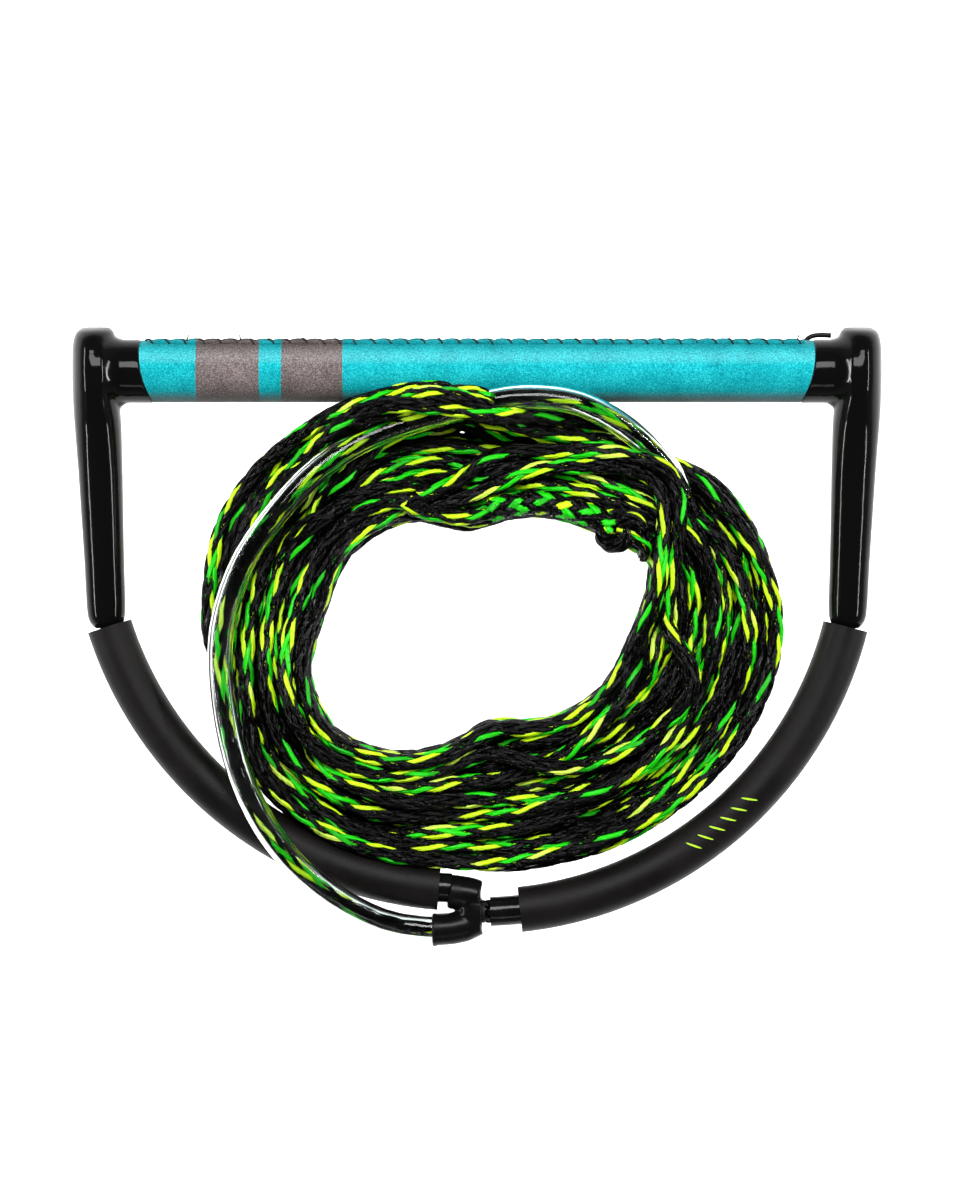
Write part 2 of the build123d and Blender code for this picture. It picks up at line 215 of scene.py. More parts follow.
def grey_ramp(nt, fac, stops):
    """A ramp of greys with (position, value) stops."""
    return ramp(nt, fac, [(at, (value, value, value)) for at, value in stops])


def span(nt, value, low, high, to_low, to_high):
    names = ("Value", "From Min", "From Max", "To Min", "To Max")
    links = dict(zip(names, (value, low, high, to_low, to_high)))
    return add(nt, "ShaderNodeMapRange", links).outputs[0]


def maths(nt, operation, a, b=0.0):
    return add(nt, "ShaderNodeMath", {0: a, 1: b}, operation=operation).outputs[0]


def blend_colour(nt, fac, a, b, how="MIX"):
    node = nt.nodes.new("ShaderNodeMix")
    node.data_type = "RGBA"
    node.blend_type = how
    for target, value in zip(
        (node.inputs[0], node.inputs[6], node.inputs[7]), (fac, a, b)
    ):
        if isinstance(value, bpy.types.NodeSocket):
            nt.links.new(value, target)
        else:
            target.default_value = value if isinstance(value, float) else (*value, 1)
    return node.outputs[2]


def bump(nt, shader, height, strength, distance):
    links = {"Height": height, "Strength": strength, "Distance": distance}
    out = add(nt, "ShaderNodeBump", links).outputs[0]
    nt.links.new(out, socket(shader, "Normal"))


def yarn_material(name, colour, rough, level=0.3):
    """Twisted polyethylene yarn: fine filaments along it, that glint here and there."""
    mat, nt, shader = new_material(
        name, Base_Color=(*colour, 1), Roughness=rough, Specular_IOR_Level=level
    )
    fine = noise(nt, coords(nt, "UV", scale=(4, 480, 1)), 1.0, 2, 0.6)
    twist = noise(nt, coords(nt, "UV", scale=(5, 300, 1), rotation=(0, 0, 0.5)), 1.0, 1)
    bump(nt, shader, maths(nt, "ADD", fine, twist), 1.0, 0.0006)
    return mat


# ---------------------------------------------------------------- rope path
def radial(points):
    """The outline's distance from the coil's middle, as a function of the angle."""
    d = points - COIL_C
    angle = np.arctan2(d[:, 1], d[:, 0])
    order = np.argsort(angle)
    angle, dist = angle[order], np.hypot(d[:, 0], d[:, 1])[order]
    angle = np.concatenate([angle - 2 * math.pi, angle, angle + 2 * math.pi])
    dist = np.tile(dist, 3)
    return lambda a: np.interp((a + math.pi) % (2 * math.pi) - math.pi, angle, dist)


outer_at, inner_at = radial(COIL_OUTLINE), radial(COIL_HOLE)


def smooth_random(n, knots):
    """A smooth random line between -1 and 1 with that many knots."""
    values = RNG.uniform(-1, 1, knots)
    at = np.linspace(0, knots - 1, n)
    i = np.minimum(at.astype(int), knots - 2)
    f = at - i
    f = (1 - np.cos(f * math.pi)) / 2
    return values[i] * (1 - f) + values[i + 1] * f


def window(value, start, end, ease):
    """1 between start and end, and an eased 0 outside."""
    rise = np.clip((value - start) / ease, 0, 1)
    fall = np.clip((end - value) / ease, 0, 1)
    return (3 - 2 * rise) * rise**2 * (3 - 2 * fall) * fall**2


def share_of(points):
    """Angle round the coil, and how far from hole to outline each point lies."""
    d = points[:, :2] - COIL_C
    angle = np.arctan2(d[:, 1], d[:, 0])
    low, high = inner_at(angle) + ROPE_R, outer_at(angle) - ROPE_R
    return angle, (np.hypot(d[:, 0], d[:, 1]) - low) / (high - low)


def laid_turns():
    """The turns as they fall. At each angle they are ranked, so that they fill the ring."""
    phi0, first_share = (v[0] for v in share_of(SLEEVED_ROUTE[-1:]))
    count = TURNS * STEPS_PER_TURN
    turn = (np.arange(count) + FIRST_STEP) / STEPS_PER_TURN
    angle = phi0 - 2 * math.pi * turn
    raw = smooth_random(count, int(1.15 * TURNS)) + 0.5 * smooth_random(count, 3 * TURNS)
    ranked = raw.reshape(TURNS, STEPS_PER_TURN).argsort(0).argsort(0).reshape(-1)
    share = (ranked + 0.5) / TURNS
    kernel = np.hanning(SHARE_KERNEL)
    share = np.convolve(np.pad(share, SHARE_KERNEL // 2, "edge"), kernel / kernel.sum(), "valid")
    wander = 0.02 * smooth_random(count, 9 * TURNS)
    share = np.clip(0.5 + (share - 0.5) * SHARE_SPREAD + wander, 0, 1)
    degrees = np.degrees(angle) % 360
    high_turn = np.clip((turn - 6) / 2, 0, 1)
    share *= 1 - window(degrees, *INSIDE_SLEEVE_LEFT) * LEFT_HELD * high_turn
    share *= 1 - window(degrees, *INSIDE_SLEEVE_RIGHT) * RIGHT_HELD
    begin = np.clip(turn / 0.3, 0, 1)
    share = (1 - begin) * first_share + begin * share
    cross_angle, cross_share = share_of(CROSSING)
    wrapped = ((angle + math.pi) % (2 * math.pi)) - math.pi
    crossing = np.interp(-wrapped, -cross_angle, cross_share)
    for whole, offset in ((TURNS - 2, -0.05), (TURNS - 1, 0.06)):
        held = window(turn, whole - 0.2, whole + 0.14, 0.07)
        share = (1 - held) * share + held * (crossing + offset)
    held = window(turn, TURNS - 0.5, TURNS + 1, 0.15)
    share = (1 - held) * share + held * END_SHARE
    share = np.clip(share, 0, 1)
    dist = inner_at(angle) + ROPE_R + share * (
        outer_at(angle) - inner_at(angle) - 2 * ROPE_R
    )
    height = FIRST_HEIGHT + HEIGHT_PER_TURN * turn
    height = height * begin + (1 - begin) * SLEEVED_ROUTE[-1][2]
    x = COIL_C[0] + dist * np.cos(angle)
    y = COIL_C[1] + dist * np.sin(angle)
    over_bar = np.clip((y - (BAR_Y - BAR_R - BAR_MARGIN)) / 0.008, 0, 1)
    height = np.maximum(height, over_bar * (BAR_Z + BAR_R + ROPE_R + 0.001 * turn))
    for stretch, least, low, rise in PASSES:
        over = window(degrees, *stretch) * (share > least) * high_turn
        height = np.maximum(height, over * (low + rise * turn))
    return np.stack([x, y, height], 1)


def float_gap(p):
    """How far each point is from the left float's centreline, and the way out."""
    d = p[:, :2] - FLOAT_C
    dist = np.hypot(d[:, 0], d[:, 1])
    along = dist - FLOAT_ARC_R
    up = p[:, 2] - FLOAT_R
    gap = np.hypot(along, up)
    out = np.zeros_like(p)
    out[:, :2] = d / dist[:, None] * (along / np.maximum(gap, 1e-9))[:, None]
    out[:, 2] = up / np.maximum(gap, 1e-9)
    return gap, out


def settle(p, fixed, radius):
    """Lets the turns sink onto each other, the floor, the bar and the float."""
    p = p.copy()
    n = len(p)
    rest = np.linalg.norm(np.diff(p, axis=0), axis=1)
    free = (~fixed)[:, None].astype(float)
    rounds = ROUNDS
    home = p.copy()
    rests_on_bar = home[:, 1] > BAR_Y - BAR_R - 0.006
    for step in range(rounds):
        if step % PAIRS_EVERY == 0:
            q = p.astype(np.float32)
            square = (q * q).sum(1)
            near = square[:, None] + square[None, :] - 2 * q @ q.T
            a, b = np.nonzero(near < REACH**2)
            keep = (b - a) > NEIGHBOURS
            a, b = a[keep], b[keep]
        sink = SINK if step < rounds * LATE else LATE_SINK
        p[:, 2] -= sink * free[:, 0]
        p[:, :2] += (home[:, :2] - p[:, :2]) * HOME_PULL * free
        for _ in range(2):
            d = p[b] - p[a]
            length = np.linalg.norm(d, axis=1)
            least = radius[a] + radius[b]
            push = np.maximum(0, least - length) / np.maximum(length, 1e-9) * 0.5
            move = d * push[:, None] * CONTACT_PUSH
            for axis in range(3):
                p[:, axis] += free[:, 0] * (
                    np.bincount(b, move[:, axis], n) - np.bincount(a, move[:, axis], n)
                )
        middle = (p[:-2] + p[2:]) / 2
        p[1:-1] += (middle - p[1:-1]) * SMOOTHING * free[1:-1]
        d = p[1:] - p[:-1]
        length = np.linalg.norm(d, axis=1)
        fix = d * ((length - rest) / length * LENGTH_PULL)[:, None]
        p[:-1] += fix * free[:-1]
        p[1:] -= fix * free[1:]
        flat = p[:, :2] - COIL_C
        dist = np.hypot(flat[:, 0], flat[:, 1])
        angle = np.arctan2(flat[:, 1], flat[:, 0])
        low, high = inner_at(angle) + radius, outer_at(angle) - radius
        high = high - window(np.degrees(angle), *INSIDE_SLEEVE_RIGHT) * 2 * SHELL_R
        lift = np.clip((p[:, 2] - ROUND_OFF_FROM) / ROUND_OFF_OVER, 0, 1)
        round_off = ROUND_OFF * lift**2 * (high - low)
        want = np.clip(dist, low + round_off, high - round_off * 0.6)
        flat *= (1 + (want - dist) / dist * WALL_PULL * free[:, 0])[:, None]
        p[:, :2] = COIL_C + flat
        over = p[:, 1:] - np.array([BAR_Y, BAR_Z])
        reach = BAR_R + radius
        crest = np.sqrt(np.maximum(0, reach**2 - over[:, 0] ** 2))
        p[:, 2] = np.where(rests_on_bar, np.maximum(p[:, 2], BAR_Z + crest), p[:, 2])
        over = p[:, 1:] - np.array([BAR_Y, BAR_Z])
        dist = np.linalg.norm(over, axis=1)
        out = np.maximum(0, reach - dist) / np.maximum(dist, 1e-9)
        p[:, 1:] += over * (out * free[:, 0])[:, None]
        gap, way = float_gap(p)
        out = np.maximum(0, FLOAT_R + radius - gap)
        out[(p[:, 0] > FLOAT_X_LIMIT) | (p[:, 1] > FLOAT_Y_LIMIT)] = 0
        p += way * (out * free[:, 0])[:, None]
        p[:, 2] = np.where(fixed, p[:, 2], np.maximum(p[:, 2], radius))
    return p


def nurbs_line(name, points, resolution=3):
    """The points of a NURBS curve along the route."""
    data = bpy.data.curves.new(name, "CURVE")
    data.dimensions = "3D"
    spline = data.splines.new("NURBS")
    spline.points.add(len(points) - 1)
    for sp, co in zip(spline.points, points):
        sp.co = (*co, 1)
    spline.order_u = 3
    spline.use_endpoint_u = True
    spline.resolution_u = resolution
    obj = bpy.data.objects.new(name, data)
    bpy.context.scene.collection.objects.link(obj)
    mesh = bpy.data.meshes.new_from_object(obj)
    co = np.zeros(len(mesh.vertices) * 3)
    mesh.vertices.foreach_get("co", co)
    bpy.data.meshes.remove(mesh)
    bpy.data.objects.remove(obj)
    return co.reshape(-1, 3)


def even(points, step):
    """The same line with points a step apart."""
    along = np.concatenate([[0], np.cumsum(np.linalg.norm(np.diff(points, axis=0), axis=1))])
    at = np.linspace(0, along[-1], int(along[-1] / step) + 1)
    return np.stack([np.interp(at, along, points[:, i]) for i in range(3)], 1), at


def frames(points):
    """Tangent, side and up vectors that turn with the line as little as they can."""
    t = np.gradient(points, axis=0)
    t /= np.linalg.norm(t, axis=1)[:, None]
    side = np.zeros_like(t)
    s = np.cross(t[0], (0, 0, 1))
    side[0] = s / np.linalg.norm(s)
    for i in range(1, len(t)):
        s = side[i - 1] - t[i] * (side[i - 1] @ t[i])
        side[i] = s / math.sqrt(s @ s)
    return t, side, np.cross(side, t)


def spokes(points, around):
    """Unit vectors all round each point, and their angles."""
    _, side, up = frames(points)
    a = np.linspace(0, 2 * math.pi, around, endpoint=False)
    way = side[:, None] * np.cos(a)[None, :, None] + up[:, None] * np.sin(a)[None, :, None]
    return way, a


def mesh_object(name, verts, faces, materials, index=None, uv=None, smooth=True):
    mesh = bpy.data.meshes.new(name)
    faces = np.asarray(faces)
    mesh.vertices.add(len(verts))
    mesh.vertices.foreach_set("co", np.asarray(verts, np.float32).ravel())
    mesh.loops.add(faces.size)
    mesh.loops.foreach_set("vertex_index", faces.ravel().astype(np.int32))
    mesh.polygons.add(len(faces))
    mesh.polygons.foreach_set(
        "loop_start", np.arange(0, faces.size, faces.shape[1], dtype=np.int32)
    )
    mesh.polygons.foreach_set("use_smooth", np.full(len(faces), smooth))
    for m in materials:
        mesh.materials.append(m)
    if index is not None:
        mesh.polygons.foreach_set("material_index", np.asarray(index, np.int32))
    if uv is not None:
        layer = mesh.uv_layers.new(name="lay")
        layer.data.foreach_set("uv", np.asarray(uv, np.float32)[faces.ravel()].ravel())
    mesh.update()
    mesh.validate()
    obj = bpy.data.objects.new(name, mesh)
    bpy.context.scene.collection.objects.link(obj)
    return obj


def ring_faces(rings, around, closed=True):
    """Quads between rings of points that follow each other."""
    r = np.arange(rings - 1)[:, None] * around
    k = np.arange(around if closed else around - 1)[None, :]
    k1 = (k + 1) % around
    return np.stack([r + k, r + k1, r + around + k1, r + around + k], -1).reshape(-1, 4)


# A yarn's section across the braid, as shares of its width and thickness, and how it waves.
YARN_SECTION = [(-0.5, -0.3), (-0.27, 0.46), (0.0, 0.12), (0.27, 0.46), (0.5, -0.3)]
YARN_WAVE = 0.14
YARN_SQUEEZE = 0.20
WORN_SPAN = 0.03
WORN_FROM = 0.45
WORN_OFFSET = 3


def braid(name, line, radius, pitch, kinds, materials, yarn=(2.5, 1.15), wild=1.0):
    """A sixteen-strand braid, over two and under two, along the line."""
    points, at = line
    t, side, up = frames(points)
    width, thick = yarn[0] * radius / ROPE_R * MM, yarn[1] * radius / ROPE_R * MM
    wave = YARN_WAVE * radius
    mean = radius - thick / 2 - wave
    turn = 2 * math.pi / pitch
    across_count = len(YARN_SECTION)
    verts, faces, index, uvs, first = [], [], [], [], 0
    n = len(points)
    twist = wild * TWIST * smooth_random(n, max(3, int(at[-1] / TWIST_SPAN)))
    for family in (1, -1):
        for strand in range(8):
            theta = 2 * math.pi * strand / 8 + family * turn * at + twist
            crossing = strand + family * 2 * turn * at * 8 / (2 * math.pi)
            over = family * np.cos(2 * math.pi * (strand + crossing - 0.5) / 4)
            over = np.clip(over * 1.5, -1, 1)
            r = mean + wave * over
            radial_v = np.cos(theta)[:, None] * side + np.sin(theta)[:, None] * up
            tangential = -np.sin(theta)[:, None] * side + np.cos(theta)[:, None] * up
            lean = family * turn * r
            across = tangential - lean[:, None] * t
            across /= np.linalg.norm(across, axis=1)[:, None]
            wide = width * (1 - YARN_SQUEEZE + YARN_SQUEEZE * over)
            ring = [
                points
                + radial_v * (r + v * thick)[:, None]
                + across * (u * wide)[:, None]
                for u, v in YARN_SECTION
            ]
            verts.append(np.stack(ring, 1).reshape(-1, 3))
            faces.append(ring_faces(n, across_count) + first)
            first += n * across_count
            worn = smooth_random(n - 1, max(3, int(at[-1] / WORN_SPAN))) > WORN_FROM
            index.append(np.repeat(kinds[family][strand] + WORN_OFFSET * worn, across_count))
            u = np.tile(np.linspace(0, 1, across_count), n)
            uvs.append(np.stack([u, np.repeat(at, across_count)], 1) + (strand, 0))
    return mesh_object(
        name,
        np.concatenate(verts),
        np.concatenate(faces),
        materials,
        np.concatenate(index),
        np.concatenate(uvs),
    )


def tube(name, line, radius, around, materials):
    points, at = line
    way, a = spokes(points, around)
    radius = np.broadcast_to(radius, (len(points),))
    verts = (points[:, None] + way * radius[:, None, None]).reshape(-1, 3)
    uv = np.stack([np.tile(a / (2 * math.pi), len(points)), np.repeat(at, around)], 1)
    return mesh_object(name, verts, ring_faces(len(points), around), materials, uv=uv)


def hollow(name, points, outer, inner, around, materials):
    """A tube with a wall: its outside, its bore and the two cut ends."""
    way, _ = spokes(points, around)
    n = len(points)
    verts = np.concatenate(
        [(points[:, None] + way * r).reshape(-1, 3) for r in (outer, inner)]
    )
    skin = ring_faces(n, around)
    bore = ring_faces(n, around)[:, ::-1] + n * around
    k = np.arange(around)
    k1 = (k + 1) % around
    last = (n - 1) * around
    bore_at = n * around
    start = np.stack([k1, k, k + bore_at, k1 + bore_at], -1)
    end = np.stack([k + last, k1 + last, k1 + last + bore_at, k + last + bore_at], -1)
    return mesh_object(name, verts, np.concatenate([skin, bore, start, end]), materials)


turns = laid_turns()
nodes = np.concatenate([LEAD_ROUTE, SLEEVED_ROUTE, turns[:-END_CUT], END_ROUTE])
fixed = np.arange(len(nodes)) < len(LEAD_ROUTE) + len(SLEEVED_ROUTE)
node_r = np.where(fixed, SHELL_R, ROPE_R)
node_r[-len(END_ROUTE) :] = SPLICE_R
nodes = settle(nodes, fixed, node_r)
rope_line = even(nurbs_line("route", nodes), 0.0033)
rope_points, rope_at = rope_line

# The yarns' materials; the worn shade of each follows WORN_OFFSET places later.
BLACK, LIME, GREEN = 0, 1, 2
yarns = [
    yarn_material("yarn_black", (0.0010, 0.0010, 0.0010), 0.09, 0.13),
    yarn_material("yarn_lime", (0.60, 0.97, 0.008), 0.3),
    yarn_material("yarn_green", (0.010, 0.62, 0.003), 0.3),
    yarn_material("yarn_black_worn", (0.0025, 0.0025, 0.0025), 0.16, 0.18),
    yarn_material("yarn_lime_pale", (0.66, 0.95, 0.09), 0.24),
    yarn_material("yarn_green_deep", (0.005, 0.42, 0.003), 0.36),
]
core_mat, nt, shader = new_material("rope_core", Base_Color=(0.004, 0.004, 0.004, 1))
nt.links.new(span(nt, noise(nt, coords(nt), 900), 0, 1, 0.6, 0.9), socket(shader, "Roughness"))
ROPE_KINDS = {1: [LIME, GREEN, LIME] + [BLACK] * 5, -1: [BLACK] * 5 + [GREEN] + [BLACK] * 2}
SPLICE_KINDS = {
    1: [GREEN, BLACK, GREEN, BLACK, GREEN, BLACK, LIME, BLACK],
    -1: [BLACK, BLACK, GREEN, BLACK, BLACK, BLACK, GREEN, BLACK],
}
KNOT_KINDS = {1: [LIME] + [BLACK] * 7, -1: [BLACK] * 8}
# Inside the splice the rope is thinner.
INNER_R = 0.0026
to_end = rope_at[-1] - rope_at
narrowed = [0, SPLICE_LENGTH - 0.006, SPLICE_LENGTH]
rope_radius = np.interp(to_end, narrowed, [INNER_R, INNER_R, ROPE_R])
rope = braid("rope", rope_line, rope_radius, PITCH, ROPE_KINDS, yarns)
core = tube("rope_core", even(rope_points, 0.008), ROPE_R * 0.62, 6, [core_mat])
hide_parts("mainline_lead", "rope_coil")

shell_end = int(np.searchsorted(rope_at, SLEEVE_LENGTH))
shell_start = int(np.searchsorted(rope_at, 0.004))
shell_points = rope_points[shell_start:shell_end].copy()
inward = COIL_C - shell_points[:, :2]
inward /= np.linalg.norm(inward, axis=1)[:, None]
shell_points[:, :2] += inward * SHELL_SLACK * 0.6
shell_points[:, 2] += SHELL_SLACK * 0.6
shell_mat, nt, shader = new_material(
    "clear_vinyl",
    Base_Color=(0.88, 0.94, 0.92, 1),
    Roughness=0.05,
    IOR=1.3,
    Transmission_Weight=1.0,
)
bump(nt, shader, noise(nt, coords(nt), 60, 2), 0.25, 0.002)
shell = hollow("clear_tube", shell_points, SHELL_R, SHELL_BORE_R, 28, [shell_mat])
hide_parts("clear_sleeve")

# The far end: an eye splice, thicker than the rope, gathered into a knot with a short tail.
splice_from = int(np.searchsorted(rope_at, rope_at[-1] - SPLICE_LENGTH))
splice = braid(
    "splice_braid", (rope_points[splice_from:], rope_at[splice_from:]),
    SPLICE_R, 0.044, SPLICE_KINDS, yarns, yarn=(2.6, 1.15), wild=0.05,
)
knot_at = rope_points[-1] + np.array([3, -1.5, -1]) * MM
t = np.linspace(0, 2 * math.pi, 37)[:-1]
knot_path = np.stack(
    [
        (6.6 + 3.2 * np.cos(3 * t)) * np.cos(2 * t),
        (5.4 + 3.0 * np.cos(3 * t)) * np.sin(2 * t),
        3.1 * np.sin(3 * t) + 1.6 * np.cos(2 * t),
    ],
    1,
) * MM + knot_at
knot_path = np.concatenate([knot_path, knot_path[:1]])
knot_line = even(nurbs_line("knot_route", knot_path, 6), 0.0015)
knot = braid("end_knot", knot_line, ROPE_R, 0.090, KNOT_KINDS, yarns, wild=0.6)
TAIL = np.array([(0, 0, 2), (6, -3, 5), (11, -6.5, 4), (13, -10, 0), (11.5, -13, -5)]) * MM
tail_line = even(nurbs_line("tail_route", TAIL + knot_at, 8), 0.0015)
tail = braid("end_tail", tail_line, ROPE_R * 0.8, 0.09, ROPE_KINDS, yarns, wild=0.3)
for piece in (splice, knot, tail, rope, core, shell):
    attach(piece, "mainline")

# ---------------------------------------------------------------- finishes
def glossy(name, colour, rough, wave, level=0.5):
    """Moulded or dipped plastic: a slightly uneven shine with fine rubbed marks."""
    mat, nt, shader = new_material(
        name, Base_Color=(*colour, 1), Specular_IOR_Level=level
    )
    place = coords(nt)
    smudge = noise(nt, place, 70, 4, 0.6)
    nt.links.new(span(nt, smudge, 0.35, 0.75, rough, rough * 2.2), socket(shader, "Roughness"))
    fine = noise(nt, place, wave, 3, 0.5)
    bump(nt, shader, fine, 0.22, 0.0016)
    return mat


def soft_matt(name, colour, rough, grain, level=0.2, depth=0.0004):
    """Foam or rubber: a fine closed-cell grain and slow changes of shine."""
    mat, nt, shader = new_material(name, Specular_IOR_Level=level)
    place = coords(nt)
    cloud = noise(nt, place, 45, 3)
    dark = tuple(c * 0.75 for c in colour)
    light = tuple(c * 1.35 for c in colour)
    nt.links.new(ramp(nt, cloud, [(0.35, dark), (0.65, light)]), socket(shader, "Base Color"))
    nt.links.new(span(nt, cloud, 0.3, 0.7, rough * 0.85, rough * 1.15), socket(shader, "Roughness"))
    cells = noise(nt, place, grain, 3, 0.6)
    bump(nt, shader, cells, 0.5, depth)
    return mat


def grip_material():
    """Suede-like cloth in broad bands across the bar, with a bright grain, painted shading and a
    painted highlight across it.
    """
    mat, nt, shader = new_material("grip_fabric", Specular_IOR_Level=0.08)
    place = coords(nt)
    x = add(nt, "ShaderNodeSeparateXYZ", {0: place}).outputs["X"]
    fray = maths(nt, "SUBTRACT", noise(nt, place, 700, 2), 0.5)
    ragged = maths(nt, "MULTIPLY", fray, 0.0012)
    along = maths(nt, "ADD", x, ragged)
    band = None
    for start, end in BANDS:
        here = maths(
            nt,
            "MULTIPLY",
            maths(nt, "GREATER_THAN", along, start),
            maths(nt, "LESS_THAN", along, end),
        )
        band = here if band is None else maths(nt, "ADD", band, here)
    grain = noise(nt, place, 1450, 3, 0.65)
    cloud = noise(nt, place, 60, 3)
    slow = maths(nt, "MULTIPLY", maths(nt, "SUBTRACT", cloud, 0.5), 0.25)
    mixed = maths(nt, "ADD", grain, slow)
    teal, warm = (ramp(nt, mixed, list(zip(GRAIN_STOPS, shades))) for shades in (TEAL, WARM))
    across = add(nt, "ShaderNodeSeparateXYZ", {0: place}).outputs["Y"]
    across = maths(nt, "ADD", across, maths(nt, "MULTIPLY", ragged, 1.2))
    across = span(nt, across, BAR_Y - BAR_R, BAR_Y + BAR_R, 0, 1)
    # Ramps across the bar: painted shading, a painted highlight and a greyer inner edge.
    painted_shading, painted_highlight, greyer_inside = (grey_ramp(nt, across, stops) for stops in (PAINTED_SHADING, PAINTED_HIGHLIGHT, GREYER_INSIDE))
    colour = blend_colour(nt, band, teal, warm)
    # Painted highlight: the cloth whitened in a band towards its seam side, where the light's sheen
    # falls.
    colour = blend_colour(nt, maths(nt, "MULTIPLY", painted_highlight, grain), colour, (0.8, 0.9, 0.9))
    # The colour turns greyer towards the grip's inner side.
    colour = blend_colour(nt, greyer_inside, colour, (0.16, 0.155, 0.15))
    # Painted shading: the colour darkened and lightened across the bar as the light falls.
    colour = blend_colour(nt, 1.0, colour, painted_shading, "MULTIPLY")
    nt.links.new(colour, socket(shader, "Base Color"))
    nt.links.new(span(nt, grain, 0.3, 0.7, 0.62, 0.38), socket(shader, "Roughness"))
    socket(shader, "Sheen Weight").default_value = 0.03
    socket(shader, "Sheen Roughness").default_value = 0.4
    socket(shader, "Sheen Tint").default_value = (0.9, 0.86, 0.84, 1)
    bump(nt, shader, grain, 0.8, 0.0007)
    return mat


# Shades of the cloth in the hollows of its grain, between them and on top.
GRAIN_STOPS = (0.28, 0.5, 0.74)
TEAL = ((0.0, 0.16, 0.19), (0.0, 0.42, 0.48), (0.04, 0.74, 0.81))
WARM = ((0.05, 0.04, 0.039), (0.15, 0.122, 0.119), (0.38, 0.32, 0.31))
# Across the grip, from its inner side to its seam: painted shading, lighter and darker bands that
# stand in for how the light falls across the bar, a painted highlight where the cloth is whitened,
# and where it turns greyer towards its inner side.
PAINTED_SHADING = [
    (0.0, 0.50), (0.06, 0.53), (0.13, 0.64), (0.22, 0.74), (0.32, 0.80), (0.45, 0.87),
    (0.58, 0.95), (0.70, 1.0), (0.80, 0.88), (0.90, 0.60), (1.0, 0.55),
]
PAINTED_HIGHLIGHT = [(0.58, 0), (0.68, 0.12), (0.74, 0.12), (0.86, 0)]
GREYER_INSIDE = [(0.02, 0.75), (0.16, 0)]
# Where the two bands start and end along the bar.
BANDS = [(-0.1317, -0.1021), (-0.0917, -0.0630)]
gloss = glossy("cap_gloss", (0.003, 0.003, 0.003), 0.07, 45, 0.13)
boot_vinyl = glossy("boot_vinyl", (0.003, 0.003, 0.003), 0.2, 45, 0.12)
dipped = glossy("vinyl_black", (0.004, 0.004, 0.004), 0.10, 140, 0.2)
foam = soft_matt("float_foam", (0.0044, 0.0036, 0.0036), 0.42, 1500, 0.13)
rubber = soft_matt("plug_rubber", (0.02, 0.02, 0.02), 0.6, 700)
underlay = soft_matt("foam_underlay", (0.03, 0.03, 0.032), 0.8, 900)
thread = soft_matt("thread_black", (0.006, 0.006, 0.006), 0.5, 2500)
cloth = grip_material()
alloy, nt, shader = new_material("tube_alloy", Base_Color=(0.62, 0.63, 0.64, 1), Metallic=1.0)
brushed = noise(nt, coords(nt, scale=(30, 900, 900)), 1.0, 3)
nt.links.new(span(nt, brushed, 0.3, 0.7, 0.22, 0.45), socket(shader, "Roughness"))
bump(nt, shader, brushed, 0.2, 0.0004)
cover = yarns[BLACK]
FINISH = {
    "bar_tube": alloy,
    "grip_foam": underlay,
    "grip_cover": cloth,
    "seam_thread": thread,
    "end_cap_left": gloss,
    "end_cap_right": gloss,
    "bar_plug_left": rubber,
    "bar_plug_right": rubber,
    "bar_rope": cover,
    "float_left": foam,
    "float_right": foam,
    "yoke_boot": gloss,
    "bridle_sleeve_left": dipped,
    "bridle_sleeve_right": dipped,
    "bridle_rope": cover,
    "splice_tail": cover,
    "splice_whipping": thread,
}
for node, material in FINISH.items():
    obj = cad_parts[node]
    obj.data.materials.clear()
    obj.data.materials.append(material)


# ---------------------------------------------------------------- grip seam
def on_bar(x, tilt, out):
    """Points on the grip's surface, tilt above its outer side, and out from it."""
    r = BAR_R + out
    return np.stack(
        [x + 0 * tilt, BAR_Y + r * np.cos(tilt) + 0 * x, BAR_Z + r * np.sin(tilt) + 0 * x], 1
    )


SEAM_TILT = math.radians(22)
SEAM_HALF = 0.1535
STITCH_PITCH = 0.008
STITCH_R = 0.45 * MM
n = int(2 * SEAM_HALF / 0.0008)
x = np.linspace(-SEAM_HALF, SEAM_HALF, n)
puff = np.abs(np.sin(math.pi * x / STITCH_PITCH)) ** 0.7
lump = 0.6 + 0.4 * (smooth_random(n, n // 12) * 0.5 + 0.5)
for name, offset in (("seam_roll_upper", 0.085), ("seam_roll_lower", -0.085)):
    wander = 0.018 * smooth_random(n, n // 14)
    size = (0.55 + 0.75 * puff * lump) * MM
    path = on_bar(x, SEAM_TILT + offset + wander, -0.15 * MM + size * 0.35)
    roll = tube(name, (path, x), size, 8, [cloth])
    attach(roll, "handle")

verts, faces = [], []
t = np.linspace(0, 1, 9)
around = 6
for k in range(int(2 * SEAM_HALF / STITCH_PITCH) + 1):
    x0 = -SEAM_HALF + k * STITCH_PITCH + RNG.uniform(-0.6, 0.6) * MM
    lean = RNG.uniform(2.2, 4.2) * MM
    reach = RNG.uniform(0.30, 0.40)
    path = on_bar(
        x0 + lean * (t - 0.5),
        SEAM_TILT + reach * (t - 0.5) + RNG.uniform(-0.03, 0.03),
        (0.15 + RNG.uniform(0.9, 1.3) * np.sin(math.pi * t)) * MM,
    )
    ring = path[:, None] + STITCH_R * spokes(path, around)[0]
    faces.append(ring_faces(len(t), around) + sum(len(v) for v in verts))
    verts.append(ring.reshape(-1, 3))
stitches = mesh_object("seam_stitches", np.concatenate(verts), np.concatenate(faces), [thread])
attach(stitches, "handle")
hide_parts("seam_thread")
# Loose thread ends, by their place along the bar.
for k, x0 in enumerate((-0.1364, -0.1105, 0.1500)):
    tilt = SEAM_TILT + np.linspace(0, -0.12, 6)
    path = on_bar(x0 + np.linspace(0, 1.2, 6) * MM * (-1) ** k, tilt, np.linspace(0.2, 3.2, 6) * MM)
    end = tube(f"thread_end_{k}", (path, np.arange(6)), np.linspace(0.42, 0.2, 6) * MM, 6, [thread])
    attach(end, "handle")

